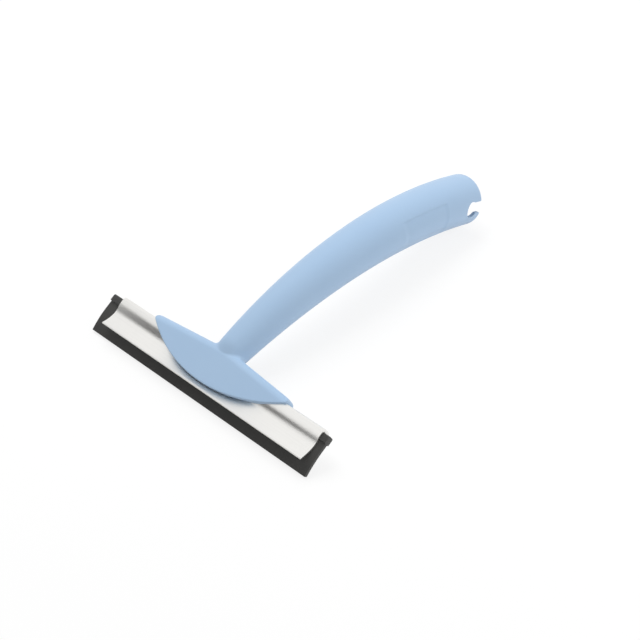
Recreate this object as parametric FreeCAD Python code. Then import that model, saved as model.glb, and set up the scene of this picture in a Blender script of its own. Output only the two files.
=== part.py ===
"""Window squeegee: a moulded hollow handle whose head grips an aluminium channel with a rubber blade.

Every piece is drawn in the head's own frame, in millimetres: X runs along the blade, Y up the head's
axis from the middle of the blade's bead towards the handle, and Z out of the wiping (front) side.
At the end the whole squeegee is turned about X until it stands as it is put down, on the rear corner
of its rubber lip and the end of its handle, and moved so that the origin is under its middle.
"""
import FreeCAD, Part
import math
import os

V = FreeCAD.Vector

# ---- driving dimensions -------------------------------------------------------------------------
# rubber blade
blade_length = 200.0
web_thickness = 2.9
bead_width = 6.2
bead_height = 5.2
bead_top_round = 1.3
bead_foot_round = 0.5
web_lean_above = 0.75      # the web starts to lean back this far above the channel's waist
web_arc_height = 19.13     # from there to the lip's front corner, along the head's axis
web_arc_radius = 62.0      # the lip has taken a slight set backwards
blade_shift = -2.0         # the blade is pushed in by hand and sits off centre

# aluminium channel
channel_length = 185.0
channel_shift = 0.5
channel_wall = 1.3
channel_roof_extra = 0.6   # its roof is thicker than its walls by this
bead_clearance = 0.15
web_clearance = 0.1
channel_top_round = 2.2
waist_depth = 1.65         # how far the waist draws in from the channel's head
waist_drop = 7.6           # the waist's distance below the bead's middle
flare_mid = (6.0, 1.5)     # drop below the waist and spread there, halfway down the flare
flare_end = (10.8, 4.15)   # the same at its lip
flare_wall = 1.15
flare_end_turn = 4.0       # degrees that the lip flares out more than the chord from its middle
slot_foot_drop = 1.2       # the web's slot starts to open out this far below the waist

# moulded head
head_length = 121.4
head_end_round = 2.6       # the lower edge's arc stops this far from the head's end
head_tip_rise = 1.612      # the head is longest this far above the lower edge's end
head_brow_inset = 4.68     # its rounded end meets the ridge this far in
jaw_clearance = 0.1
front_wall_top = 1.75      # front jaw's thickness over the channel's head
front_lean = 0.096         # the front plate leans out from the channel by this slope
plate_thickness = 2.3
plate_drop = 14.75         # the plate's lowest point below the bead's middle
plate_radius = 101.0       # the plate's lower edge is an arc
jaw_grip = 1.9             # the jaws' inner ridges end this far above the waist
jaw_step = 2.2             # height over which they then step out
back_wall = 1.75
back_drop = 9.0            # the back jaw's lowest point below the bead's middle
head_end_top = 7.9         # top of the head at its two ends
head_mid_top = 13.1        # and in the middle of the neck
ridge_round_front = 5.0
ridge_round_back = 4.5

# hollow handle
axis_setback = 0.87        # the handle's axis lies this far behind the bead's middle
axis_start = -0.68
neck_lean = 9.96           # degrees that the neck leans back from the head's axis
bend_radius = 387.0
handle_arc = 255.5         # arc length from the bead to the open end
end_radius = 19.05
taper = 1.36e-4            # the radius falls off with the square of the distance from the end
neck_start = 3.0
neck_round_at = 17.0       # from here to the end the handle is round
neck_front = 7.4           # the neck's reach in front of its axis where it starts inside the head
neck_back = 3.6            # and behind it
neck_blend = 3.0           # radius of the fillet between neck and head
handle_wall = 2.4
hollow_start = 70.0        # arc length at which the bore ends
loft_start = 30.0          # the round part is drawn through sections from here on
rim_round = 0.7

# hanging notch through both sides of the handle's end
notch_radius = 6.0
notch_inset = 11.3
notch_raise = 1.0
mouth_top = 6.4
mouth_bottom = -2.1
mouth_top_round = 1.0
mouth_bottom_round = 2.2

# bare recessed panel on the handle's right-hand side
panel_near = 40.5          # distances from the handle's end, along its axis
panel_far = 86.0
panel_half_height = 11.6
panel_depth = 0.5

cut_past = 5.0             # cutting tools reach this far past what they cut

# ---- derived sizes ------------------------------------------------------------------------------
half_web = web_thickness / 2
web_straight = waist_drop - web_lean_above   # from the bead's middle down to the web's lean
half_bead = bead_width / 2
bead_top = bead_height / 2
cavity_half = half_bead + bead_clearance
slot_half = half_web + web_clearance
channel_half = cavity_half + channel_wall
channel_top = bead_top + bead_clearance + channel_wall + channel_roof_extra
waist_half = channel_half - waist_depth
jaw_half = channel_half + jaw_clearance
slot_top = channel_top + jaw_clearance


def arc_through(p1, p2, p3):
    """Edge of the circular arc from p1 through p2 to p3."""
    return Part.Arc(p1, p2, p3).toShape()


def line(p1, p2):
    """Straight edge."""
    return Part.LineSegment(p1, p2).toShape()


def side(y, z):
    """Point of a profile that is drawn square to the blade."""
    return V(0, y, z)


def prism(edges, length, middle=0.0):
    """Solid of the closed profile `edges`, drawn at X = 0, made `length` long about X = `middle`."""
    face = Part.Face(Part.Wire(Part.__sortEdges__(edges)))
    solid = face.extrude(V(length, 0, 0))
    solid.translate(V(middle - length / 2, 0, 0))
    return solid


def mirrored(edges):
    """The edges with their mirror images on the blade's other side."""
    plane = FreeCAD.Matrix(1, 0, 0, 0, 0, 1, 0, 0, 0, 0, -1, 0)
    return edges + [edge.transformGeometry(plane) for edge in edges]


def corner(before, point, after, radius):
    """The arc that rounds a polyline's corner, as its start, middle and end point."""
    to_start = (before - point).normalize()
    to_end = (after - point).normalize()
    half = to_start.getAngle(to_end) / 2
    start = point + to_start * (radius / math.tan(half))
    end = point + to_end * (radius / math.tan(half))
    inwards = (to_start + to_end).normalize()
    centre = point + inwards * (radius / math.sin(half))
    return start, centre - inwards * radius, end


def rounded_loop(points, radii):
    """Edges of the closed polygon `points`, each corner rounded by its radius (0 keeps it sharp)."""
    count = len(points)
    arcs = []
    for i, radius in enumerate(radii):
        if radius > 0:
            arcs.append(corner(points[i - 1], points[i], points[(i + 1) % count], radius))
        else:
            arcs.append((points[i], None, points[i]))
    edges = []
    for i, (start, middle, end) in enumerate(arcs):
        if middle is not None:
            edges.append(arc_through(start, middle, end))
        follower = arcs[(i + 1) % count][0]
        if end.distanceToPoint(follower) > 1e-6:
            edges.append(line(end, follower))
    return edges


# ---- rubber blade -------------------------------------------------------------------------------
lip_angle = math.asin(web_arc_height / (web_arc_radius + half_web))


def web_point(angle, offset):
    """Point of the leaning web at an angle of its arc, `offset` in front of its middle."""
    reach = web_arc_radius + offset
    return side(-web_straight - reach * math.sin(angle), reach * math.cos(angle) - web_arc_radius)


def rubber_blade():
    """Bead, straight web and a lip that leans back, in one section along the whole blade."""
    bead = [side(bead_top, -half_bead), side(bead_top, half_bead),
            side(-bead_top, half_bead), side(-bead_top, -half_bead)]
    rounds = [bead_top_round, bead_top_round, bead_foot_round, bead_foot_round]
    web = [line(side(0, half_web), web_point(0, half_web)),
           arc_through(*[web_point(t * lip_angle, half_web) for t in (0, 0.5, 1)]),
           line(web_point(lip_angle, half_web), web_point(lip_angle, -half_web)),
           arc_through(*[web_point(t * lip_angle, -half_web) for t in (1, 0.5, 0)]),
           line(web_point(0, -half_web), side(0, -half_web)),
           line(side(0, -half_web), side(0, half_web))]
    middle = blade_shift
    solid = prism(rounded_loop(bead, rounds), blade_length, middle)
    return solid.fuse(prism(web, blade_length, middle)).removeSplitter()


# ---- aluminium channel --------------------------------------------------------------------------
def waist_reach(y, gap=0.0):
    """Half depth of the channel at height y between its head (Y = 0) and its waist, plus a gap."""
    fall = waist_drop / 2
    turn = 2 * math.atan2(waist_depth, waist_drop)
    radius = fall / math.sin(turn)
    from_end = min(-y, waist_drop + y)
    sag = radius - math.sqrt(radius ** 2 - from_end ** 2)
    half = channel_half - sag if -y < fall else waist_half + sag
    return half + gap


def waist_curve(foot, gap=0.0):
    """Two arcs that draw in from the channel's head, at Y = 0, to its waist, ending at Y = foot."""
    edges = []
    for first, last in ((0, -waist_drop / 2), (-waist_drop / 2, foot)):
        spots = (first, (first + last) / 2, last)
        edges.append(arc_through(*[side(y, waist_reach(y, gap)) for y in spots]))
    return edges


def channel_profile():
    """Closed outline of the extrusion: a round-topped head over the bead, a waist and two flares."""
    top_round = channel_top_round
    bend = top_round * (1 - math.sqrt(0.5))
    flat = line(side(channel_top, 0), side(channel_top, channel_half - top_round))
    shoulder = arc_through(side(channel_top, channel_half - top_round),
                           side(channel_top - bend, channel_half - bend),
                           side(channel_top - top_round, channel_half))
    flank = line(side(channel_top - top_round, channel_half), side(0, channel_half))
    mid = side(-waist_drop - flare_mid[0], waist_half + flare_mid[1])
    tip = side(-waist_drop - flare_end[0], waist_half + flare_end[1])
    front = arc_through(side(-waist_drop, waist_half), mid, tip)
    slope = math.atan2(flare_end[1] - flare_mid[1], flare_end[0] - flare_mid[0])
    slope += math.radians(flare_end_turn)
    back = side(-flare_wall * math.sin(slope), -flare_wall * math.cos(slope))
    nose_point = tip + back * 0.5 + side(-math.cos(slope), math.sin(slope)) * (flare_wall / 2)
    nose = arc_through(tip, nose_point, tip + back)
    slot_foot = side(-waist_drop - slot_foot_drop, slot_half)
    inner = arc_through(tip + back, mid + back, slot_foot)
    cavity_top = bead_top + bead_clearance
    ledge = -bead_top - bead_clearance
    slot = line(slot_foot, side(ledge, slot_half))
    seat = line(side(ledge, slot_half), side(ledge, cavity_half))
    wall = line(side(ledge, cavity_half), side(cavity_top - bead_top_round, cavity_half))
    nook = bead_top_round * (1 - math.sqrt(0.5))
    roof_corner = arc_through(side(cavity_top - bead_top_round, cavity_half),
                              side(cavity_top - nook, cavity_half - nook),
                              side(cavity_top, cavity_half - bead_top_round))
    roof = line(side(cavity_top, cavity_half - bead_top_round), side(cavity_top, 0))
    return ([flat, shoulder, flank] + waist_curve(-waist_drop)
            + [front, nose, inner, slot, seat, wall, roof_corner, roof])


def blade_channel():
    """The extruded channel, cut to length."""
    return prism(mirrored(channel_profile()), channel_length, channel_shift)


# ---- handle -------------------------------------------------------------------------------------
def axis_heading(s):
    """Direction of the handle's axis at arc length s, in radians from the head's axis."""
    return -math.radians(neck_lean) - s / bend_radius


def axis_point(s):
    """Point of the handle's axis at arc length s: a circular arc that bends back."""
    start = axis_heading(0)
    now = axis_heading(s)
    return side(axis_start + bend_radius * (math.sin(start) - math.sin(now)),
                -axis_setback + bend_radius * (math.cos(now) - math.cos(start)))


def handle_radius(s):
    """Radius of the handle: full at the open end, thinner with the square of the distance from it."""
    return end_radius - taper * (handle_arc - s) ** 2


def axis_frame(s):
    """Placement whose X is the blade's, Z points along the handle's axis and Y to its back."""
    turn = FreeCAD.Rotation(V(1, 0, 0), math.degrees(axis_heading(s)) - 90)
    return FreeCAD.Placement(axis_point(s), turn)


def neck_reach(s, at_start):
    """Reach of the section from its axis: it eases from `at_start` inside the head to the radius."""
    share = max(0.0, min(1.0, (s - neck_start) / (neck_round_at - neck_start)))
    ease = share * share * (3 - 2 * share)
    return at_start + (handle_radius(s) - at_start) * ease


def handle_loft(stations, inset):
    """Solid through elliptic sections of the handle, each drawn `inset` inside its surface."""
    wires = []
    for s in stations:
        wide = handle_radius(s) - inset
        front = neck_reach(s, neck_front) - inset
        back = neck_reach(s, neck_back) - inset
        deep = min((front + back) / 2, wide * 0.9999)
        ring = Part.Ellipse(V(0, (back - front) / 2, 0), wide, deep).toShape()
        ring.Placement = axis_frame(s)
        wires.append(Part.Wire(ring))
    return Part.makeLoft(wires, True, False)


def stations(first, last, count):
    """Evenly spaced arc lengths."""
    return [first + (last - first) * i / (count - 1) for i in range(count)]


def face_depth(y):
    """How far in front of the bead the leaning face of the front plate lies at height y."""
    return jaw_half + front_wall_top + front_lean * (channel_top - y)


def head_section(x, top):
    """Outline of the head across the blade at X = x, with its two top ridges rounded."""
    low = -plate_drop - cut_past
    back = -jaw_half - back_wall
    points = [side(low, face_depth(low)), side(top, face_depth(top)), side(top, back), side(low, back)]
    wire = Part.Wire(rounded_loop(points, [0, ridge_round_front, ridge_round_back, 0]))
    wire.translate(V(x, 0, 0))
    return wire


def head_block():
    """The head before the channel's slot is cut: ruled from its ends up to the neck, and trimmed."""
    half = head_length / 2
    sections = [head_section(-half, head_end_top), head_section(0, head_mid_top),
                head_section(half, head_end_top)]
    block = Part.makeLoft(sections, True, True)
    shoulder = half - head_end_round
    end_y = -plate_drop + plate_radius - math.sqrt(plate_radius ** 2 - shoulder ** 2)
    tip_y = end_y + head_tip_rise
    brow = half - head_brow_inset
    brow_y = head_end_top + (head_mid_top - head_end_top) * (1 - brow / half)
    high = head_mid_top + cut_past
    depth = 2 * (face_depth(-plate_drop) + cut_past)

    def at(x, y):
        return V(x, y, -depth / 2)

    outline = [arc_through(at(-shoulder, end_y), at(0, -plate_drop), at(shoulder, end_y)),
               arc_through(at(shoulder, end_y), at(half, tip_y), at(brow, brow_y)),
               line(at(brow, brow_y), at(brow, high)),
               line(at(brow, high), at(-brow, high)),
               line(at(-brow, high), at(-brow, brow_y)),
               arc_through(at(-brow, brow_y), at(-half, tip_y), at(-shoulder, end_y))]
    front_view = Part.Face(Part.Wire(outline)).extrude(V(0, 0, depth))
    return block.common(front_view)


def jaw_relief(foot, outer, low):
    """Half of the head's slot in profile: it follows the channel to Y = foot, then steps out."""
    round_over = channel_top_round + jaw_clearance
    bend = round_over * (1 - math.sqrt(0.5))
    return [line(side(slot_top, 0), side(slot_top, jaw_half - round_over)),
            arc_through(side(slot_top, jaw_half - round_over), side(slot_top - bend, jaw_half - bend),
                        side(slot_top - round_over, jaw_half)),
            line(side(slot_top - round_over, jaw_half), side(0, jaw_half))
            ] + waist_curve(foot, jaw_clearance) + [
            line(side(foot, waist_reach(foot, jaw_clearance)),
                 side(foot - jaw_step, outer(foot - jaw_step))),
            line(side(foot - jaw_step, outer(foot - jaw_step)), side(low, outer(low))),
            line(side(low, outer(low)), side(low, 0))]


def slot_tool():
    """What the channel and the room round it take out of the head, along its whole length."""
    grip = -waist_drop + jaw_grip
    low = -plate_drop - 2 * cut_past
    length = head_length + 2 * cut_past
    centre = line(side(low, 0), side(slot_top, 0))
    front = prism(jaw_relief(grip, lambda y: face_depth(y) - plate_thickness, low) + [centre], length)
    back = prism(jaw_relief(grip, lambda y: jaw_half, low) + [centre], length)
    back = back.mirror(V(0, 0, 0), V(0, 0, 1))
    reach = jaw_half + back_wall + cut_past
    under = Part.makeBox(length, -back_drop - low, reach, V(-length / 2, low, -reach))
    return front.fuse(back).fuse(under)


def notch_tool():
    """The hanging notch: a round seat with a narrower mouth, cut along X through both side walls."""
    up = math.sqrt(notch_radius ** 2 - (mouth_top - notch_raise) ** 2)
    down = math.sqrt(notch_radius ** 2 - (notch_raise - mouth_bottom) ** 2)
    seat_top = V(mouth_top, 0, -notch_inset + up)
    seat_back = V(notch_raise, 0, -notch_inset - notch_radius)
    seat_bottom = V(mouth_bottom, 0, -notch_inset + down)
    bend = 1 - math.sqrt(0.5)
    lip = mouth_bottom_round
    brow = mouth_top_round
    edges = [arc_through(seat_top, seat_back, seat_bottom),
             line(seat_bottom, V(mouth_bottom, 0, -lip)),
             arc_through(V(mouth_bottom, 0, -lip), V(mouth_bottom - lip * bend, 0, -lip * bend),
                         V(mouth_bottom - lip, 0, 0)),
             line(V(mouth_bottom - lip, 0, 0), V(mouth_bottom - lip, 0, cut_past)),
             line(V(mouth_bottom - lip, 0, cut_past), V(mouth_top + brow, 0, cut_past)),
             line(V(mouth_top + brow, 0, cut_past), V(mouth_top + brow, 0, 0)),
             arc_through(V(mouth_top + brow, 0, 0), V(mouth_top + brow * bend, 0, -brow * bend),
                         V(mouth_top, 0, -brow)),
             line(V(mouth_top, 0, -brow), seat_top)]
    face = Part.Face(Part.Wire(edges))
    width = 2 * (end_radius + cut_past)
    tool = face.extrude(V(0, width, 0))
    upright = FreeCAD.Placement(V(-width / 2, 0, 0), FreeCAD.Rotation(V(0, 0, 1), -90))
    tool.Placement = axis_frame(handle_arc).multiply(upright)
    return tool


def panel_tool(skin):
    """What the shallow side panel takes off: a curved strip of the surface, beside the handle's axis."""
    centre = axis_point(0) + side(math.sin(axis_heading(0)), -math.cos(axis_heading(0))) * bend_radius
    rims = []
    for radius in (bend_radius + panel_half_height, bend_radius - panel_half_height):
        points = []
        for distance in (panel_near, (panel_near + panel_far) / 2, panel_far):
            heading = axis_heading(handle_arc - distance)
            points.append(centre + side(-math.sin(heading), math.cos(heading)) * radius)
        rims.append(points)
    top, bottom = rims
    edges = [arc_through(*top), line(top[2], bottom[2]),
             arc_through(bottom[2], bottom[1], bottom[0]), line(bottom[0], top[0])]
    strip = Part.Face(Part.Wire(edges)).extrude(V(end_radius + cut_past, 0, 0))
    return strip.cut(skin)


def neck_seam(body):
    """Edges where the neck comes out of the head's ridge, left and right of the middle."""
    reach = handle_radius(neck_round_at)
    ridge_corner = 0.13 * reach
    seam = []
    for edge in body.Edges:
        spot = edge.CenterOfMass
        if head_end_top < spot.y < head_mid_top + rim_round and ridge_corner < abs(spot.x) < 1.02 * reach:
            seam.append(edge)
    return seam


def handle():
    """Head and hollow handle in one moulding, with the channel's slot, the notch and the panel."""
    block = head_block()
    grip = handle_loft(stations(neck_start, neck_round_at, 5) + stations(loft_start, handle_arc, 9), 0)
    mouth = axis_point(handle_arc)
    rim = [edge for edge in grip.Edges if edge.CenterOfMass.distanceToPoint(mouth) < 1]
    grip = grip.makeFillet(rim_round, rim)
    body = block.fuse(grip)
    body = body.makeFillet(neck_blend, neck_seam(body))
    body = body.cut(slot_tool())
    hollow = handle_loft(stations(hollow_start, handle_arc + rim_round + 1, 9), handle_wall)
    body = body.cut(hollow)
    skin = handle_loft(stations(handle_arc - 1.5 * panel_far, handle_arc, 6), panel_depth)
    body = body.cut(panel_tool(skin))
    return body.cut(notch_tool()).removeSplitter()


# ---- standing pose and origin -------------------------------------------------------------------
def resting_tilt():
    """Angle of the head's axis above the table, with the lip's rear corner and the handle's end on it."""
    lip = web_point(lip_angle, -half_web)
    end = axis_point(handle_arc)
    heading = axis_heading(handle_arc)
    rise = end_radius * math.cos(heading) - end.z + lip.z
    run = end.y - lip.y + end_radius * math.sin(heading)
    return math.atan2(rise, run)


def main():
    """Build the pieces, stand them on the table and write one file for each."""
    pieces = {"handle": handle(), "blade_channel": blade_channel(), "rubber_blade": rubber_blade()}
    tilt = resting_tilt()
    stand = FreeCAD.Rotation(V(1, 0, 0), math.degrees(tilt))
    lip = stand.multVec(web_point(lip_angle, -half_web))
    lip_front = stand.multVec(web_point(lip_angle, half_web))
    end = axis_point(handle_arc)
    upward = side(-math.sin(axis_heading(handle_arc)), math.cos(axis_heading(handle_arc)))
    far = stand.multVec(end + upward * end_radius)
    middle = V(blade_shift, (lip_front.y + far.y) / 2, lip.z)
    os.makedirs("parts", exist_ok=True)
    for name, shape in pieces.items():
        shape.Placement = FreeCAD.Placement(-middle, stand).multiply(shape.Placement)
        print(name, shape.isValid(), len(shape.Solids), round(shape.Volume), shape.BoundBox)
        shape.exportStep("parts/%s.step" % name)
    print("tilt %.3f deg, middle %s" % (math.degrees(tilt), middle))


main()
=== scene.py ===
"""Looks of the window squeegee: satin moulded handle, bright aluminium channel, black rubber blade."""

import math

import bmesh
import bpy
import numpy as np
from mathutils import Matrix, Vector


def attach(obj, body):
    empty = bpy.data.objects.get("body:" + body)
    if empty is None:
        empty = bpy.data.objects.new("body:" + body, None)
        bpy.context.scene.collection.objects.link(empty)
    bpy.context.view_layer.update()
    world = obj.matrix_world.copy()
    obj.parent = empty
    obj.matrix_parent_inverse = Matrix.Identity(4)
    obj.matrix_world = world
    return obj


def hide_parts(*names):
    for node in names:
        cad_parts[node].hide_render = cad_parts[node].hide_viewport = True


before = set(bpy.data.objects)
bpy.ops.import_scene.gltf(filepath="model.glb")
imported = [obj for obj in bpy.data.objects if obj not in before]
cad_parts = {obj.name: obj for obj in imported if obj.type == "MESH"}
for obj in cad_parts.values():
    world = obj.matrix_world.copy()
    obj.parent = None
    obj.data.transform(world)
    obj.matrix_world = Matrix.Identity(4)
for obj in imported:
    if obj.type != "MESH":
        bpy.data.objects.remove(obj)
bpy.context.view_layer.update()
MM = 0.001


# ---- materials ----------------------------------------------------------------------------------
def linear(hex_colour):
    """sRGB hex, such as 'a5bfdc', to the linear RGBA that a shader socket takes."""
    srgb = np.array([int(hex_colour[i:i + 2], 16) for i in (0, 2, 4)]) / 255
    low = srgb / 12.92
    high = ((srgb + 0.055) / 1.055) ** 2.4
    return (*np.where(srgb <= 0.04045, low, high).tolist(), 1.0)


def add(tree, kind, links=(), **settings):
    """Adds a node. A setting named after a socket sets that input, any other is a property of the node;
    links are (from socket, input name or number) pairs."""
    node = tree.nodes.new(kind)
    for name, value in settings.items():
        socket = next((s for s in node.inputs if s.name.replace(" ", "_") == name), None)
        if socket is not None:
            socket.default_value = value
        else:
            setattr(node, name, value)
    for source, target in links:
        tree.links.new(source, node.inputs[target])
    return node


def blank_material(name):
    """An empty node material with its tree and output node."""
    material = bpy.data.materials.new(name)
    material.use_nodes = True
    tree = material.node_tree
    tree.nodes.clear()
    return material, tree, tree.nodes.new("ShaderNodeOutputMaterial")


def moulded_plastic():
    """Polypropylene, injection moulded in a fine spark-eroded mould: a soft, broad, pale sheen. The real
    grain, about 0.1 mm, is too fine to show and is drawn six times as coarse."""
    grain_size, cloud_size = 0.6 * MM, 38 * MM
    material, tree, out = blank_material("moulded_light_blue_polypropylene")
    place = add(tree, "ShaderNodeTexCoord").outputs["Object"]
    grain = add(tree, "ShaderNodeTexNoise", [(place, "Vector")], Scale=1 / grain_size, Detail=2.0)
    dull = add(tree, "ShaderNodeMapRange", [(grain.outputs["Fac"], "Value")], To_Min=0.38, To_Max=0.5)
    cloud = add(tree, "ShaderNodeTexNoise", [(place, "Vector")], Scale=1 / cloud_size, Detail=2.0)
    tint = add(tree, "ShaderNodeValToRGB", [(cloud.outputs["Fac"], 0)])
    tint.color_ramp.elements[0].color = linear("a6c2e0")
    tint.color_ramp.elements[1].color = linear("abc6e2")
    relief = add(tree, "ShaderNodeBump", [(grain.outputs["Fac"], "Height")],
                 Strength=0.3, Distance=0.04 * MM)
    shader = add(tree, "ShaderNodeBsdfPrincipled",
                 [(tint.outputs["Color"], "Base Color"), (dull.outputs[0], "Roughness"),
                  (relief.outputs["Normal"], "Normal")], IOR=1.49)
    tree.links.new(shader.outputs[0], out.inputs["Surface"])
    return material


def extruded_aluminium():
    """Aluminium, extruded and lightly anodised: bright, with fine die lines along its length. Real lines,
    about 0.1 mm apart, are too fine to show and are drawn six times as coarse."""
    line_pitch, lengthwise = 0.6 * MM, 0.012
    material, tree, out = blank_material("extruded_satin_aluminium")
    place = add(tree, "ShaderNodeTexCoord").outputs["Object"]
    stretch = add(tree, "ShaderNodeMapping", [(place, "Vector")], Scale=(lengthwise, 1.0, 1.0))
    lines = add(tree, "ShaderNodeTexNoise", [(stretch.outputs[0], "Vector")],
                Scale=1 / line_pitch, Detail=3.0)
    dull = add(tree, "ShaderNodeMapRange", [(lines.outputs["Fac"], "Value")], To_Min=0.32, To_Max=0.44)
    tone = add(tree, "ShaderNodeValToRGB", [(lines.outputs["Fac"], 0)])
    tone.color_ramp.elements[0].color = linear("ecebe8")
    tone.color_ramp.elements[1].color = linear("f6f5f2")
    relief = add(tree, "ShaderNodeBump", [(lines.outputs["Fac"], "Height")],
                 Strength=0.2, Distance=0.03 * MM)
    shader = add(tree, "ShaderNodeBsdfPrincipled",
                 [(tone.outputs["Color"], "Base Color"), (dull.outputs[0], "Roughness"),
                  (relief.outputs["Normal"], "Normal")], Metallic=1.0)
    tree.links.new(shader.outputs[0], out.inputs["Surface"])
    return material


def extruded_rubber():
    """Natural rubber filled with carbon black, extruded and cut to length: matt with a faint dry bloom.
    Its real pores, under 0.1 mm, are too fine to show and are drawn coarser."""
    pore_size, bloom_size = 0.4 * MM, 7 * MM
    material, tree, out = blank_material("carbon_black_rubber")
    place = add(tree, "ShaderNodeTexCoord").outputs["Object"]
    bloom = add(tree, "ShaderNodeTexNoise", [(place, "Vector")], Scale=1 / bloom_size, Detail=4.0)
    tint = add(tree, "ShaderNodeValToRGB", [(bloom.outputs["Fac"], 0)])
    tint.color_ramp.elements[0].color = linear("30302f")
    tint.color_ramp.elements[1].color = linear("3b3a38")
    pores = add(tree, "ShaderNodeTexNoise", [(place, "Vector")], Scale=1 / pore_size, Detail=3.0)
    relief = add(tree, "ShaderNodeBump", [(pores.outputs["Fac"], "Height")],
                 Strength=0.35, Distance=0.04 * MM)
    shader = add(tree, "ShaderNodeBsdfPrincipled",
                 [(tint.outputs["Color"], "Base Color"), (relief.outputs["Normal"], "Normal")],
                 Roughness=0.55, IOR=1.52)
    tree.links.new(shader.outputs[0], out.inputs["Surface"])
    return material


PLASTIC, METAL, RUBBER = moulded_plastic(), extruded_aluminium(), extruded_rubber()


# ---- the squeegee's own frame -------------------------------------------------------------------
# Shapes are worked out in millimetres in the head's frame: X along the blade, Y up the head's axis
# from the middle of the blade's bead, Z out of the wiping side. stand() puts them on the table.
TILT = math.radians(29.578)                        # the head's lean as the object rests
ORIGIN = np.array([-2.0, 117.40208, -16.10378])    # the turned point that becomes the scene's origin
MERGE = 0.002 * MM                                 # points closer than this are one
FLIP = np.array([1, -1])                           # mirrors (y, z) points front to back
SOFTEN_ABOVE = math.radians(38)                    # edges that turn by more are rounded, where asked
CREASE_ABOVE = math.radians(34)                    # edges that turn by more stay creases


def stand(points):
    """Turns points about X by the resting tilt, moves them onto the table and scales them to metres."""
    x, y, z = np.moveaxis(points, -1, 0)
    c, s = math.cos(TILT), math.sin(TILT)
    return (np.stack([x, c * y - s * z, s * y + c * z], -1) - ORIGIN) * MM


def ease(t):
    """Cubic step from 0 to 1 with level ends: 3 t squared less 2 t cubed."""
    t = np.clip(t, 0, 1)
    return t * t * (3 - 2 * t)


def arc_through(first, middle, last, share):
    """Points at the given shares of the circular arc through three points of a plane."""
    a, b, c = (np.array(p, dtype=float) for p in (first, middle, last))
    lengths = np.array([a @ a, b @ b, c @ c])
    cross = 2 * (a[0] * (b[1] - c[1]) + b[0] * (c[1] - a[1]) + c[0] * (a[1] - b[1]))
    centre = np.array([lengths @ [b[1] - c[1], c[1] - a[1], a[1] - b[1]],
                       lengths @ [c[0] - b[0], a[0] - c[0], b[0] - a[0]]]) / cross
    spokes = np.array([a, b, c]) - centre
    angles = np.unwrap(np.arctan2(spokes[:, 1], spokes[:, 0]))
    angle = angles[0] + (angles[2] - angles[0]) * np.asarray(share, dtype=float)
    return centre + np.hypot(*spokes[0]) * np.stack([np.cos(angle), np.sin(angle)], -1)


def ring_faces(rows, columns):
    """Quads of a grid of closed rings stacked along its first index."""
    index = np.arange(rows * columns).reshape(rows, columns)
    along = np.roll(index, -1, axis=1)
    return np.stack([index[:-1], index[1:], along[1:], along[:-1]], -1).reshape(-1, 4).tolist()


def closed_mesh(name, points, faces):
    """A mesh from points in the head's frame: doubles merged, empty faces dropped, faces outwards."""
    mesh = bpy.data.meshes.new(name)
    mesh.from_pydata(stand(points).tolist(), [], faces)
    work = bmesh.new()
    work.from_mesh(mesh)
    bmesh.ops.remove_doubles(work, verts=work.verts, dist=MERGE)
    bmesh.ops.dissolve_degenerate(work, edges=work.edges, dist=MERGE)
    bmesh.ops.recalc_face_normals(work, faces=work.faces)
    work.to_mesh(mesh)
    work.free()
    return mesh


def prism(name, outline, low, high):
    """Closed prism of a (y, z) outline between two places along X."""
    count = len(outline)
    ends = [np.column_stack([np.full(count, x), outline]) for x in (low, high)]
    faces = ring_faces(2, count) + [list(range(count)), list(range(2 * count - 1, count - 1, -1))]
    return closed_mesh(name, np.concatenate(ends), faces)


def in_scene(name, data):
    """A new object in the scene that holds the data."""
    thing = bpy.data.objects.new(name, data)
    bpy.context.scene.collection.objects.link(thing)
    return thing


def applied(body):
    """The mesh that an object's modifiers make. The object is removed."""
    bpy.context.view_layer.update()
    result = bpy.data.meshes.new_from_object(body.evaluated_get(bpy.context.evaluated_depsgraph_get()))
    bpy.data.objects.remove(body)
    return result


def cut(mesh, tools):
    """The mesh with the tools' meshes cut out of it."""
    body = in_scene("uncut", mesh)
    cutters = [in_scene(tool.name, tool) for tool in tools]
    for cutter in cutters:
        step = body.modifiers.new(cutter.name, "BOOLEAN")
        step.operation, step.solver, step.object = "DIFFERENCE", "EXACT", cutter
    result = applied(body)
    for cutter in cutters:
        bpy.data.objects.remove(cutter)
    return result


def softened(mesh, width):
    """The mesh with its sharp edges rounded to a width in millimetres."""
    body = in_scene("unsoftened", mesh)
    step = body.modifiers.new("edges", "BEVEL")
    step.limit_method, step.angle_limit = "ANGLE", SOFTEN_ABOVE
    step.width, step.segments = width * MM, 2
    return applied(body)


def piece(name, mesh, finish, body, node):
    """A finished piece, smooth but for its creases. It rides on its body and takes its node's place."""
    mesh.materials.clear()
    mesh.materials.append(finish)
    mesh.polygons.foreach_set("use_smooth", np.ones(len(mesh.polygons), dtype=bool))
    mesh.set_sharp_from_angle(angle=CREASE_ABOVE)
    thing = in_scene(name, mesh)
    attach(thing, body)
    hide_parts(node)


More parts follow.
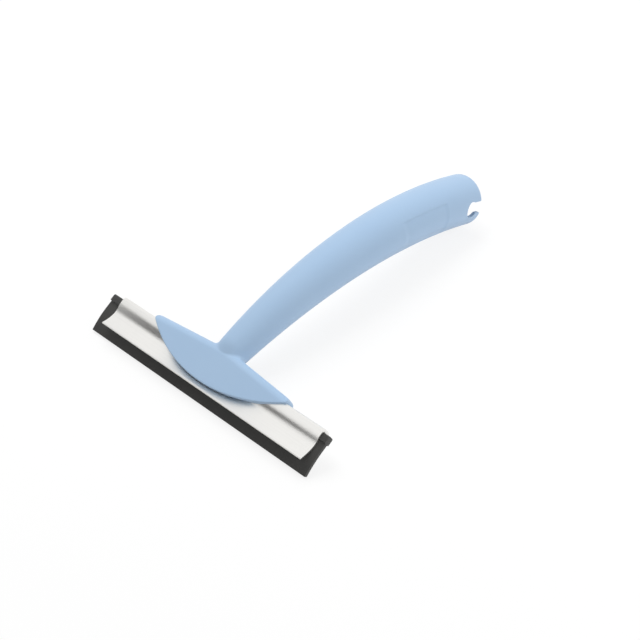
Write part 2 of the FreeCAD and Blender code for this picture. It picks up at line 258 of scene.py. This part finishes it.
# ---- handle: the head's skin --------------------------------------------------------------------
HALF = 60.7                              # half the head's length
END_TOP, MID_TOP = 7.9, 13.1             # the ridge's height at its ends and in the middle
FACE, LEAN_OUT = 6.4, 0.096              # the face's depth at the channel's top, and its slope below that
BACK, BACK_DROP = 6.4, 9.0               # depth and lowest point of the back jaw
CHANNEL_TOP = 4.65                       # height of the channel's top
ROUND_FRONT, ROUND_BACK = 6.0, 4.5       # roundings before and behind the ridge
FRONT_TURN = math.pi / 2 - math.atan(LEAN_OUT)    # how far the front rounding turns
PLATE_DROP, PLATE_ARCH = 14.75, 106.0    # lowest point and radius of the plate's lower edge
SHOULDER, BROW = 58.6, 55.4              # where each rounded end leaves the lower edge and the ridge
NOSE_TOP, NOSE_FOOT = 6.4, 3.2           # how far it keeps their directions
EDGE_ROUND, EDGE_RUN = 0.65, 0.6         # rounding along the outline, and the share in which it grows
QUARTER = 60                             # columns of the handle's grid in each quarter turn
HEAD_ROWS, CROWDING = 54, 0.9            # rows over the head's skin, a little closer towards the neck


def ridge(x):
    """Height of the ridge: it falls evenly from the middle to both ends."""
    return MID_TOP - (MID_TOP - END_TOP) * np.abs(x) / HALF


def lower_edge(x):
    """Height of the plate's lower edge: a circular arc."""
    return PLATE_ARCH - PLATE_DROP - np.sqrt(PLATE_ARCH ** 2 - x ** 2)


def corner_of(x, front):
    """The rounding before or behind the ridge: its radius, turning angle and how far out its centre is."""
    radius = np.where(front, ROUND_FRONT, ROUND_BACK)
    turn = np.where(front, FRONT_TURN, math.pi / 2)
    ahead = FACE + LEAN_OUT * (CHANNEL_TOP - ridge(x) + ROUND_FRONT) - ROUND_FRONT * math.hypot(1, LEAN_OUT)
    return radius, turn, np.where(front, ahead, BACK - ROUND_BACK)


def skin(x, round_way, sink=0.0):
    """Point of the head's skin at x and at a way round its section, 0 over the bead and positive in front:
    level on the ridge, then an arc, then straight down the face or the back. `sink` lies inside it."""
    radius, turn, centre = corner_of(x, round_way > 0)
    way = np.abs(round_way)
    angle = np.clip((way - centre) / radius, 0, turn)
    beyond = np.maximum(way - centre - radius * turn, 0)
    y = ridge(x) - radius + (radius - sink) * np.cos(angle) - beyond * np.sin(turn)
    z = np.minimum(way, centre) + (radius - sink) * np.sin(angle) + beyond * np.cos(turn)
    return np.stack([x, y, np.where(round_way > 0, z, -z)], -1)


def unroll(points):
    """The reverse of skin(): the way round the section nearest to each point, and its distance outside."""
    x, y, z = np.moveaxis(points, -1, 0)
    radius, turn, centre = corner_of(x, z > 0)
    up, out = y - ridge(x) + radius, np.abs(z) - centre
    reach, angle = np.hypot(up, out), np.arctan2(out, up)
    held = np.clip(angle, 0, turn)
    way = centre + reach * np.sin(angle - held) + radius * held
    return np.where(z > 0, way, -way), reach * np.cos(angle - held) - radius


def way_down(x, y, front):
    """Way round the section at which the skin has fallen to height y."""
    radius, turn, centre = corner_of(x, front)
    fallen = ridge(x) - y
    angle = np.arccos(np.clip(1 - fallen / radius, np.cos(turn), 1))
    beyond = np.maximum(fallen - radius * (1 - np.cos(turn)), 0) / np.sin(turn)
    return centre + radius * angle + beyond


def outline(share):
    """Front view of the head's right half: shares 0 to 1 go round its end, a cubic curve that leaves the
    ridge and joins the lower edge in their own directions, and 1 to 2 go back along that edge's arc."""
    fall = (MID_TOP - END_TOP) / HALF
    rise = SHOULDER / math.sqrt(PLATE_ARCH ** 2 - SHOULDER ** 2)
    first, last = np.array([BROW, ridge(BROW)]), np.array([SHOULDER, lower_edge(SHOULDER)])
    second = first + NOSE_TOP * np.array([1, -fall]) / math.hypot(1, fall)
    third = last + NOSE_FOOT * np.array([1, rise]) / math.hypot(1, rise)
    t = np.clip(share, 0, 1)[..., None]
    end = (1 - t) ** 3 * first + 3 * t * (1 - t) ** 2 * second + 3 * t * t * (1 - t) * third + t ** 3 * last
    x = SHOULDER * (2 - np.clip(share, 1, 2))
    return np.where((share < 1)[..., None], end, np.stack([x, lower_edge(x)], -1))


def outline_columns():
    """For each column of one quarter, from the head's end to its middle: its share of the outline, how far
    it has crossed the ridge's level top, and the share it reaches on the line under the bead."""
    level, end = 4, 18
    column = np.arange(QUARTER + 1)
    share = np.clip((column - level) / (end - level), 0, 1) + np.clip((column - end) / (QUARTER - end), 0, 1)
    crossed = np.clip(column / level, 0, 1)
    under = np.where(column < end, column / end, share)
    return share, crossed, under


def spread(quarters):
    """Puts two quarters, the right half's front and back, round the whole ring: each is gone through from
    the end to the middle on the right, and back on the left with X mirrored."""
    front, back = quarters
    left = np.array([-1.0, 1.0, 1.0])
    return np.concatenate([front[:, :-1], (front * left)[:, :0:-1], (back * left)[:, :-1], back[:, :0:-1]], 1)


def rim(share, front):
    """Point of the outline at a share. Behind, it goes no lower than the foot of the back jaw."""
    spot = outline(share)
    if not front:
        spot[:, 1] = np.maximum(spot[:, 1], -BACK_DROP)
    return spot


def inward_of(share):
    """Unit normal of the outline that points into the head, and straight up along the lower edge."""
    step = 1e-3
    tangent = outline(share + step) - outline(np.maximum(share - step, 0))
    inward = np.stack([tangent[:, 1], -tangent[:, 0]], -1)
    inward /= np.linalg.norm(inward, axis=1, keepdims=True)
    return np.where((share < 1)[:, None], inward, np.array([0.0, 1.0]))


def way_of(spot, crossed, front):
    """Signed way round the section of a point of the outline. On the ridge's level top it is only part of
    the way."""
    sign = 1 if front else -1
    return sign * way_down(spot[:, 0], spot[:, 1], front) * np.where(crossed < 1, crossed, 1.0)


def head_rings(foot):
    """Rings of the head, from the line under the bead out over its end faces and edges, then over the skin
    in straight lines of (x, way round) up to the foot of the neck's fillet."""
    share, crossed, under = outline_columns()
    sunk = EDGE_ROUND * ease(share / EDGE_RUN) ** 2
    inward = inward_of(share)
    edges, joins = [], []
    for front in (True, False):
        top = rim(share, front)
        depth = skin(top[:, 0], way_of(top, crossed, front), sunk)[:, 2]
        rows = [np.column_stack([outline(under), 0 * under])]
        for part in (0.25, 0.5, 0.75, 0.9):
            rows.append(np.column_stack([rim(under + (share - under) * part, front), depth * part]))
        for turn in np.radians([90, 67.5, 45, 22.5]):
            spot = top + inward * (sunk * (1 - math.sin(turn)))[:, None]
            rows.append(skin(spot[:, 0], way_of(spot, crossed, front), sunk * (1 - math.cos(turn))))
        edges.append(np.array(rows))
        spot = top + inward * sunk[:, None]
        joins.append(np.column_stack([spot[:, 0], 0 * sunk, way_of(spot, crossed, front)])[None])
    join_x, _, join_way = spread(joins)[0].T
    progress = np.linspace(0, 1, HEAD_ROWS)[:, None] ** CROWDING
    x = join_x + (foot[:, 0] - join_x) * progress
    way = join_way + (unroll(foot)[0] - join_way) * progress
    return np.concatenate([spread(edges), skin(x, way)[:-1]])


# ---- handle: neck, grip and bore ----------------------------------------------------------------
ARC, BEND, START, SETBACK = 255.5, 387.0, -0.68, 0.87    # the axis: length, radius, y and -z at its foot
NECK_LEAN = math.radians(9.96)               # how far its foot leans back
END_RADIUS, TAPER = 19.05, 1.36e-4           # radius of the open end, and its fall per square millimetre
WALL, HOLLOW_START, RIM_ROUND = 2.4, 70.0, 0.8    # the tube's wall, where its bore ends, its rim's rounding
NECK_START, NECK_ROUND = 3.0, 17.0           # arc lengths between which the neck grows round
NECK_FRONT, NECK_BACK = 7.4, 3.6             # its reach before and behind the axis at first
BLEND = 3.2                                  # radius of the fillet between neck and head
CONTACT_LOW, CONTACT_HIGH = 3.5, 45.0        # arc lengths between which the fillet meets the grip
HALVINGS, FILLET_ROWS, GRIP_ROWS, BORE_ROWS = 40, 9, 118, 60
PANEL_NEAR, PANEL_FAR = 40.5, 86.0           # the panel's ends, from the open end
PANEL_HALF, PANEL_DEPTH, PANEL_STEP = 11.6, 0.5, 0.9    # its half height, depth and width of its slopes
CLOSE_ROWS = np.linspace(-0.7, 0.7, 8)       # extra rows about each of its ends
RIM_TURNS = np.radians([18, 36, 54, 72, 90])    # where the rim's rounding has its rows
CLOSING = np.array([0.8, 0.4, 0.0])          # shares to which the bore's last rows shrink, down to a point


def heading(s):
    """Direction of the grip's axis at arc length s: it turns back at a steady rate."""
    return -NECK_LEAN - s / BEND


def axis(s):
    """Y and Z of the grip's axis: a circular arc."""
    return (START + BEND * (np.sin(heading(0)) - np.sin(heading(s))),
            -SETBACK + BEND * (np.cos(heading(s)) - np.cos(heading(0))))


def radius_at(s):
    """Radius of the grip: full at the open end, less with the square of the distance from it."""
    return END_RADIUS - TAPER * (ARC - s) ** 2


def grip(s, angle, inset=0.0):
    """Point of the grip at arc length s and angle round its axis (0 on the right, a quarter turn in front):
    an ellipse whose front and back reaches ease from the head's thickness to the radius."""
    grow = ease((s - NECK_START) / (NECK_ROUND - NECK_START))
    front = NECK_FRONT + (radius_at(s) - NECK_FRONT) * grow - inset
    back = NECK_BACK + (radius_at(s) - NECK_BACK) * grow - inset
    across = (front - back) / 2 + (front + back) / 2 * np.sin(angle)
    y, z = axis(s)
    return np.stack([(radius_at(s) - inset) * np.cos(angle), y - np.sin(heading(s)) * across,
                     z + np.cos(heading(s)) * across], -1)


def grip_normal(s, angle):
    """Outward unit normal of the grip's skin, from small steps along it and round it."""
    step = 0.02
    along = grip(s + step, angle) - grip(s - step, angle)
    around = grip(s, angle + step) - grip(s, angle - step)
    normal = np.cross(along, around)
    return normal / np.linalg.norm(normal, axis=-1, keepdims=True)


def neck_fillet(angle):
    """Rolls a ball round the neck: its centre is one radius off the grip's skin and off the head's, found by
    halving. The fillet is the ball's arc between its two contacts, nearest the head first."""
    low, high = np.full_like(angle, CONTACT_LOW), np.full_like(angle, CONTACT_HIGH)
    for _ in range(HALVINGS):
        s = (low + high) / 2
        clear = unroll(grip(s, angle) + BLEND * grip_normal(s, angle))[1] > BLEND
        low, high = np.where(clear, low, s), np.where(clear, s, high)
    centre = grip(s, angle) + BLEND * grip_normal(s, angle)
    contact = skin(centre[:, 0], unroll(centre)[0])
    to_head = (contact - centre) / np.linalg.norm(contact - centre, axis=-1, keepdims=True)
    to_grip = -grip_normal(s, angle)
    bend = np.arccos(np.clip(np.sum(to_head * to_grip, -1), -1, 1))[None, :, None]
    bend = np.maximum(bend, 1e-4)            # a bend of nothing would divide by nothing
    share = np.linspace(0, 1, FILLET_ROWS)[:, None, None]
    way = (np.sin((1 - share) * bend) * to_head + np.sin(share * bend) * to_grip) / np.sin(bend)
    return centre + BLEND * way, s


def panel_inset(s, angle):
    """Depth of the bare panel on the grip's right side: it steps in softly at each of its four edges."""
    def inside(distance):
        return ease(distance / PANEL_STEP + 0.5)
    from_end = ARC - s
    height = np.abs(radius_at(s) * np.sin(angle))
    return (PANEL_DEPTH * inside(from_end - PANEL_NEAR) * inside(PANEL_FAR - from_end)
            * inside(PANEL_HALF - height) * (np.cos(angle) > 0))


def grip_stations():
    """Shares of the way from the fillet to the rim: even, with closer rows near the panel's two ends."""
    even = np.linspace(0, 1, GRIP_ROWS)[1:]
    steps = [(ARC - from_end + shift) / ARC for from_end in (PANEL_NEAR, PANEL_FAR) for shift in CLOSE_ROWS]
    return np.unique(np.concatenate([even, steps]))


def grip_rings(angle, first):
    """Rings up the outside of the grip, over the rounded rim and down the bore to its closed end."""
    straight = ARC - RIM_ROUND
    s = first + (straight - first) * grip_stations()[:, None]
    outside = grip(s, angle, panel_inset(s, angle))
    turn = RIM_TURNS[:, None]
    over = grip(straight + RIM_ROUND * np.sin(turn), angle, RIM_ROUND * (1 - np.cos(turn)))
    back = grip(straight + RIM_ROUND * np.sin(turn[::-1]), angle, WALL - RIM_ROUND * (1 - np.cos(turn[::-1])))
    down = np.linspace(straight, HOLLOW_START, BORE_ROWS)[:, None]
    bore = grip(down, angle, WALL)
    end = np.array([0, *axis(HOLLOW_START)])
    closing = end + (bore[-1] - end) * CLOSING[:, None, None]
    return np.concatenate([outside, over, back, bore, closing])


# ---- handle: slot and notch ---------------------------------------------------------------------
JAW_HALF, SLOT_TOP, SLOT_ROUND = 4.65, 4.75, 2.3    # the slot's half depth, top and rounding
WAIST_DROP, WAIST_DEPTH = 7.6, 1.65                 # how far down and in the channel's waist lies
JAW_CLEAR = 0.1                                     # running fit between the jaws and the channel
JAW_FOOT, JAW_STEP, PLATE = -5.7, 2.2, 2.3          # where the jaws end, the slope there, the plate's wall
PAST = 10.0                                         # how far a cutting tool reaches past what it cuts
QUARTER_STEPS, SLOT_STEPS, SEAT_STEPS = 9, 16, 33   # points of a quarter circle and of longer curves


def waist(y):
    """Half depth of the slot between the channel's head and its waist: two equal arcs that meet halfway."""
    radius = WAIST_DROP / 2 / math.sin(2 * math.atan2(WAIST_DEPTH, WAIST_DROP))
    sag = radius - np.sqrt(radius ** 2 - np.minimum(-y, WAIST_DROP + y) ** 2)
    return JAW_HALF - np.where(-y < WAIST_DROP / 2, sag, WAIST_DEPTH - sag)


def slot_outline():
    """Section of the slot: round-topped, drawn in at the jaws' ridges, then open below."""
    turn = np.radians(np.linspace(0, 90, QUARTER_STEPS))
    roof = np.column_stack([SLOT_TOP - SLOT_ROUND + SLOT_ROUND * np.cos(turn),
                            JAW_HALF - SLOT_ROUND + SLOT_ROUND * np.sin(turn)])
    y = np.linspace(0, JAW_FOOT, SLOT_STEPS)
    flank = np.column_stack([y, waist(y)])
    step = JAW_FOOT - JAW_STEP
    low, below_jaw, far = -PLATE_DROP - PAST, -BACK_DROP - 0.5, BACK + 8
    plate = [[y, FACE + LEAN_OUT * (CHANNEL_TOP - y) - PLATE] for y in (step, low)]
    rear = [[low, -far], [below_jaw, -far], [below_jaw, -JAW_HALF], [step, -JAW_HALF]]
    return np.concatenate([roof, flank, plate, rear, flank[::-1] * FLIP, roof[::-1] * FLIP])


def notch_outline():
    """Section of the hanging notch in (y, z): a round seat and a narrower mouth with rounded lips. It is
    drawn in the grip's end, as lift towards the wiping side and distance along the axis from the end."""
    seat, inset, lift = 6.0, 11.3, 1.0       # the seat's radius and the place of its middle
    top, bottom, top_round, bottom_round = 6.4, -2.1, 1.9, 2.4
    past = 4.0                               # how far the tool reaches past the end
    up = math.sqrt(seat ** 2 - (top - lift) ** 2) - inset
    down = math.sqrt(seat ** 2 - (lift - bottom) ** 2) - inset
    share = np.linspace(0, 1, SEAT_STEPS)
    loop = arc_through((top, up), (lift, -inset - seat), (bottom, down), share)
    turn = np.radians(np.linspace(0, 90, QUARTER_STEPS))
    lip = np.column_stack([bottom - bottom_round * (1 - np.cos(turn)), bottom_round * (np.sin(turn) - 1)])
    brow = np.column_stack([top + top_round * (1 - np.cos(turn[::-1])), top_round * (np.sin(turn[::-1]) - 1)])
    mouth = [[bottom - bottom_round, past], [top + top_round, past]]
    lift_out, along = np.concatenate([loop, lip, mouth, brow]).T
    y, z = axis(ARC)
    turned = heading(ARC)
    return np.column_stack([y + along * math.cos(turned) - lift_out * math.sin(turned),
                            z + along * math.sin(turned) + lift_out * math.cos(turned)])


def handle():
    """Head, neck and grip as one closed skin of rings, with the channel's slot and the notch cut out."""
    angle = np.arange(4 * QUARTER) * math.pi / (2 * QUARTER)
    fillet, first = neck_fillet(angle)
    rings = np.concatenate([head_rings(fillet[0]), fillet, grip_rings(angle, first)])
    body = closed_mesh("handle_skin", rings.reshape(-1, 3), ring_faces(*rings.shape[:2]))
    reach = END_RADIUS + PAST / 2
    tools = [prism("slot", slot_outline(), -HALF - PAST, HALF + PAST),
             prism("notch", notch_outline(), -reach, reach)]
    piece("handle_moulding", cut(body, tools), PLASTIC, "handle", "handle")


# ---- channel and blade --------------------------------------------------------------------------
CHANNEL_ENDS, CHANNEL_EDGE = (-92.0, 93.0), 0.14    # where it ends along X, and its edges' rounding
RUBBER_ENDS, RUBBER_EDGE = (-102.0, 98.0), 0.2
WAIST_STEPS, FLARE_STEPS, LIP_STEPS = 25, 21, 22    # points of their curves


def quarter_arc(centre, radius, first, last, steps=QUARTER_STEPS):
    """Points of an arc in (y, z) between two angles in degrees, 0 along +Y and 90 along +Z."""
    angle = np.radians(np.linspace(first, last, steps))
    return np.array(centre) + radius * np.column_stack([np.cos(angle), np.sin(angle)])


def blade_channel():
    """The extrusion: a round-topped head round the bead, a waist, and two flares with rounded lips."""
    half, top, top_round = JAW_HALF - JAW_CLEAR, CHANNEL_TOP, 2.2
    waist_half, wall, end_turn = half - WAIST_DEPTH, 1.15, math.radians(4)
    slot, foot = 1.55, 1.2                   # half the slot for the web, and how far below the waist it ends
    cavity, nook, bead_top, bead_seat = 3.25, 1.3, 2.75, -2.75    # the bead's room, its top and its floor
    mid = np.array([-WAIST_DROP - 6.0, waist_half + 1.5])      # a point halfway down the flare
    tip = np.array([-WAIST_DROP - 10.8, waist_half + 4.15])    # its outer end
    slope = math.atan2(tip[1] - mid[1], mid[0] - tip[0]) + end_turn
    inwards = wall * np.array([-math.sin(slope), -math.cos(slope)])
    nose = tip + inwards / 2 + wall / 2 * np.array([-math.cos(slope), math.sin(slope)])
    y = np.linspace(0, -WAIST_DROP, WAIST_STEPS)
    share = np.linspace(0, 1, FLARE_STEPS)
    side = np.concatenate([
        quarter_arc((top - top_round, half - top_round), top_round, 0, 90),
        np.column_stack([y, waist(y) - JAW_CLEAR]),
        arc_through((-WAIST_DROP, waist_half), mid, tip, share[1:]),
        arc_through(tip, nose, tip + inwards, share[2:-1:3]),
        arc_through(tip + inwards, mid + inwards, (-WAIST_DROP - foot, slot), share),
        [[bead_seat, slot], [bead_seat, cavity]],
        quarter_arc((bead_top - nook, cavity - nook), nook, 90, 0)])
    whole = np.concatenate([side, side[::-1] * FLIP])
    mesh = softened(prism("channel", whole, *CHANNEL_ENDS), CHANNEL_EDGE)
    piece("blade_channel_extrusion", mesh, METAL, "channel", "blade_channel")


def rubber_blade():
    """The strip: a bead with rounded corners, a straight web, and a lip that has set slightly backwards."""
    bead, bead_top, web = 3.1, 2.6, 1.45     # half the bead's depth and height, half the web's thickness
    head_round, foot_round = 1.3, 0.5        # the bead's roundings, above and below
    straight, bend, drop = WAIST_DROP - 0.75, 62.0, 19.13    # the lip's start, its arc's radius and height
    angle = np.linspace(0, math.asin(drop / (bend + web)), LIP_STEPS)[:, None]

    def leaning(offset):
        """One side of the lip: the arc at a distance outside or inside its middle line."""
        reach = bend + offset
        return np.hstack([-straight - reach * np.sin(angle), reach * np.cos(angle) - bend])

    upper = quarter_arc((bead_top - head_round, bead - head_round), head_round, 0, 90)
    lower = quarter_arc((-bead_top + foot_round, bead - foot_round), foot_round, 90, 180, 5)
    front = np.concatenate([upper, lower, [[-bead_top, web]], leaning(web)])
    rear = np.concatenate([leaning(-web)[::-1], [[-bead_top, -web]], lower[::-1] * FLIP, upper[::-1] * FLIP])
    mesh = softened(prism("strip", np.concatenate([front, rear]), *RUBBER_ENDS), RUBBER_EDGE)
    piece("rubber_blade_strip", mesh, RUBBER, "blade", "rubber_blade")


handle()
blade_channel()
rubber_blade()


# ---- floor, lights and camera -------------------------------------------------------------------
# Places and sizes are in metres.
WHITE = (1, 1, 1, 1)
SQUARE = np.array([(-1, -1, 0), (1, -1, 0), (1, 1, 0), (-1, 1, 0)])
CAMERA_PLACE = (0.474705, -0.520811, 0.581045)
CAMERA_ANGLES = (43.4016, 40.4001, -0.3790)    # round the object, above it, and the roll, in degrees
CAMERA_LENS, CAMERA_SENSOR, CAMERA_NEAR = 73.125, 36.0, 0.05


def seen_ray(tree):
    """1 for rays from the camera and for those that a surface mirrors or lets through, else 0."""
    path = add(tree, "ShaderNodeLightPath").outputs
    seen = add(tree, "ShaderNodeMath", [(path["Is Camera Ray"], 0), (path["Is Glossy Ray"], 1)],
               operation="MAXIMUM")
    return add(tree, "ShaderNodeMath", [(seen.outputs[0], 0), (path["Is Transmission Ray"], 1)],
               operation="MAXIMUM").outputs[0]


def white_where_seen(name, floor_colour):
    """An ordinary pale surface to light. The camera and reflections see it whitened, fully so from `far` on,
    with a faint shadow near the object."""
    near, far, whiten = 0.3, 0.8, 0.8
    glow_strength = 1.04     # makes up for the pale surface's own share where there is no shadow
    material, tree, out = blank_material(name)
    place = add(tree, "ShaderNodeTexCoord").outputs["Object"]
    distance = add(tree, "ShaderNodeVectorMath", [(place, 0)], operation="LENGTH").outputs["Value"]
    whiter = add(tree, "ShaderNodeMapRange", [(distance, "Value")],
                 From_Min=near, From_Max=far, To_Min=whiten)
    share = add(tree, "ShaderNodeMath", [(seen_ray(tree), 0), (whiter.outputs[0], 1)], operation="MULTIPLY")
    pale = add(tree, "ShaderNodeBsdfDiffuse", Color=linear(floor_colour))
    glow = add(tree, "ShaderNodeEmission", Color=WHITE, Strength=glow_strength)
    mix = add(tree, "ShaderNodeMixShader",
              [(share.outputs[0], 0), (pale.outputs[0], 1), (glow.outputs[0], 2)])
    tree.links.new(mix.outputs[0], out.inputs["Surface"])
    return material


def quad(name, corners, material):
    """A flat four-cornered object."""
    mesh = bpy.data.meshes.new(name)
    mesh.from_pydata([tuple(corner) for corner in corners], [], [(0, 1, 2, 3)])
    mesh.materials.append(material)
    return in_scene(name, mesh)


def floor_sheet(half_side):
    """A flat square under the object."""
    floor = quad("floor", SQUARE * half_side, white_where_seen("white_table", "f2f2f2"))


def softbox(name, place, aim, size, watts):
    """A square area lamp at `place` facing `aim`."""
    lamp = bpy.data.lights.new(name, "AREA")
    lamp.shape, lamp.size, lamp.energy = "SQUARE", size, watts
    rig = in_scene(name, lamp)
    rig.location = place
    rig.rotation_euler = (Vector(aim) - Vector(place)).to_track_quat("-Z", "Y").to_euler()
    rig.visible_glossy = False


def dark_card(name, place, aim, width, height):
    """A black card that only reflections see: it draws the dark line in the bright channel's groove."""
    material, tree, out = blank_material("black_card")
    cloth = add(tree, "ShaderNodeBsdfDiffuse", Color=linear("1e1e1e"))
    tree.links.new(cloth.outputs[0], out.inputs["Surface"])
    turn = (Vector(aim) - Vector(place)).to_track_quat("Z", "Y").to_matrix()
    corners = [turn @ Vector(c) + Vector(place) for c in SQUARE * [width / 2, height / 2, 0]]
    card = quad(name, corners, material)
    card.visible_camera = card.visible_diffuse = card.visible_shadow = card.visible_transmission = False


def world_light(strength):
    """An even white surround: bright to the camera and in reflections, softer as light."""
    world = bpy.data.worlds.new("studio")
    world.use_nodes = True
    bpy.context.scene.world = world
    tree = world.node_tree
    tree.nodes.clear()
    light = add(tree, "ShaderNodeBackground", Color=WHITE, Strength=strength)
    seen = add(tree, "ShaderNodeBackground", Color=WHITE, Strength=1.0)
    mix = add(tree, "ShaderNodeMixShader",
              [(seen_ray(tree), 0), (light.outputs[0], 1), (seen.outputs[0], 2)])
    out = tree.nodes.new("ShaderNodeOutputWorld")
    tree.links.new(mix.outputs[0], out.inputs["Surface"])


def camera():
    """Camera above, in front and to the right of the blade."""
    data = bpy.data.cameras.new("camera")
    data.lens, data.sensor_width, data.clip_start = CAMERA_LENS, CAMERA_SENSOR, CAMERA_NEAR
    azimuth, elevation, roll = (math.radians(a) for a in CAMERA_ANGLES)
    look = Vector((math.sin(azimuth) * math.cos(elevation), -math.cos(azimuth) * math.cos(elevation),
                   math.sin(elevation)))
    right = Vector((math.cos(azimuth), math.sin(azimuth), 0))
    right_rolled = right * math.cos(roll) + look.cross(right) * math.sin(roll)
    turn = Matrix((right_rolled, look.cross(right_rolled), look)).transposed()
    rig = in_scene("camera", data)
    rig.matrix_world = Matrix.Translation(CAMERA_PLACE) @ turn.to_4x4()
    bpy.context.scene.camera = rig


floor_sheet(half_side=3.0)
softbox("key", place=(-0.5, 0.2, 1.0), aim=(0, 0.02, 0.03), size=0.7, watts=8.2)
softbox("fill", place=(0.78, 0.3, 0.45), aim=(0, 0.06, 0.03), size=0.8, watts=2.7)
dark_card("groove_card", place=(-0.4, -0.725, 0.25), aim=(-0.15, -0.12, 0.02), width=1.25, height=0.49)
world_light(strength=0.435)
camera()
bpy.context.scene.view_settings.view_transform = "Standard"
